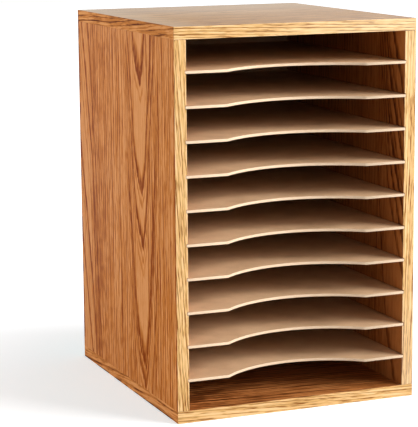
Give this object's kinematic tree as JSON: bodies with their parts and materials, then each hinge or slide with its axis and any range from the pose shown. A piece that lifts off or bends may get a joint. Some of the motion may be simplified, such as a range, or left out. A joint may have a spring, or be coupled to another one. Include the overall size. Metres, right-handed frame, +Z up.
{
  "type": "desktop file sorter",
  "caption": "Upright desktop sorter for letter paper: wood-grain laminate case, open in front, with loose hardboard shelves whose front edges are scooped for fingers.",
  "frame": {"origin": "middle of the underside, on the surface that the sorter stands on", "axes": "+Z up, -Y out of the open front, +X to the right for someone facing the front"},
  "size_m": [0.271, 0.3048, 0.4064],
  "materials": {
    "oak_laminate": "satin oak-grain laminate on particle board",
    "oak_edge_band": "satin pale oak-grain edge band",
    "hardboard_shelf": "smooth matt hardboard with pale cut edges",
    "hardboard_back": "dark matt hardboard",
    "beech_dowel": "bare fluted beech"
  },
  "bodies": {
    "cabinet": {"top_board": "oak_laminate", "bottom_board": "oak_laminate", "left_side_board": "oak_laminate", "right_side_board": "oak_laminate", "top_front_band": "oak_edge_band", "bottom_front_band": "oak_edge_band", "left_side_front_band": "oak_edge_band", "right_side_front_band": "oak_edge_band", "top_left_end_band": "oak_edge_band", "top_right_end_band": "oak_edge_band", "bottom_left_end_band": "oak_edge_band", "bottom_right_end_band": "oak_edge_band", "back_panel": "hardboard_back", "dowel_top_left_1": "beech_dowel", "dowel_top_left_2": "beech_dowel", "dowel_top_left_3": "beech_dowel", "dowel_top_right_1": "beech_dowel", "dowel_top_right_2": "beech_dowel", "dowel_top_right_3": "beech_dowel", "dowel_bottom_left_1": "beech_dowel", "dowel_bottom_left_2": "beech_dowel", "dowel_bottom_left_3": "beech_dowel", "dowel_bottom_right_1": "beech_dowel", "dowel_bottom_right_2": "beech_dowel", "dowel_bottom_right_3": "beech_dowel"},
    "shelf_01": {"shelf_01": "hardboard_shelf"},
    "shelf_02": {"shelf_02": "hardboard_shelf"},
    "shelf_03": {"shelf_03": "hardboard_shelf"},
    "shelf_04": {"shelf_04": "hardboard_shelf"},
    "shelf_05": {"shelf_05": "hardboard_shelf"},
    "shelf_06": {"shelf_06": "hardboard_shelf"},
    "shelf_07": {"shelf_07": "hardboard_shelf"},
    "shelf_08": {"shelf_08": "hardboard_shelf"},
    "shelf_09": {"shelf_09": "hardboard_shelf"},
    "shelf_10": {"shelf_10": "hardboard_shelf"}
  },
  "joints": [
    {"name": "shelf_01_slide", "type": "slide", "parent": "cabinet", "child": "shelf_01", "axis": [0, -1, 0], "range_m": [0, 0.3]},
    {"name": "shelf_02_slide", "type": "slide", "parent": "cabinet", "child": "shelf_02", "axis": [0, -1, 0], "range_m": [0, 0.3]},
    {"name": "shelf_03_slide", "type": "slide", "parent": "cabinet", "child": "shelf_03", "axis": [0, -1, 0], "range_m": [0, 0.3]},
    {"name": "shelf_04_slide", "type": "slide", "parent": "cabinet", "child": "shelf_04", "axis": [0, -1, 0], "range_m": [0, 0.3]},
    {"name": "shelf_05_slide", "type": "slide", "parent": "cabinet", "child": "shelf_05", "axis": [0, -1, 0], "range_m": [0, 0.3]},
    {"name": "shelf_06_slide", "type": "slide", "parent": "cabinet", "child": "shelf_06", "axis": [0, -1, 0], "range_m": [0, 0.3]},
    {"name": "shelf_07_slide", "type": "slide", "parent": "cabinet", "child": "shelf_07", "axis": [0, -1, 0], "range_m": [0, 0.3]},
    {"name": "shelf_08_slide", "type": "slide", "parent": "cabinet", "child": "shelf_08", "axis": [0, -1, 0], "range_m": [0, 0.3]},
    {"name": "shelf_09_slide", "type": "slide", "parent": "cabinet", "child": "shelf_09", "axis": [0, -1, 0], "range_m": [0, 0.3]},
    {"name": "shelf_10_slide", "type": "slide", "parent": "cabinet", "child": "shelf_10", "axis": [0, -1, 0], "range_m": [0, 0.3]}
  ]
}
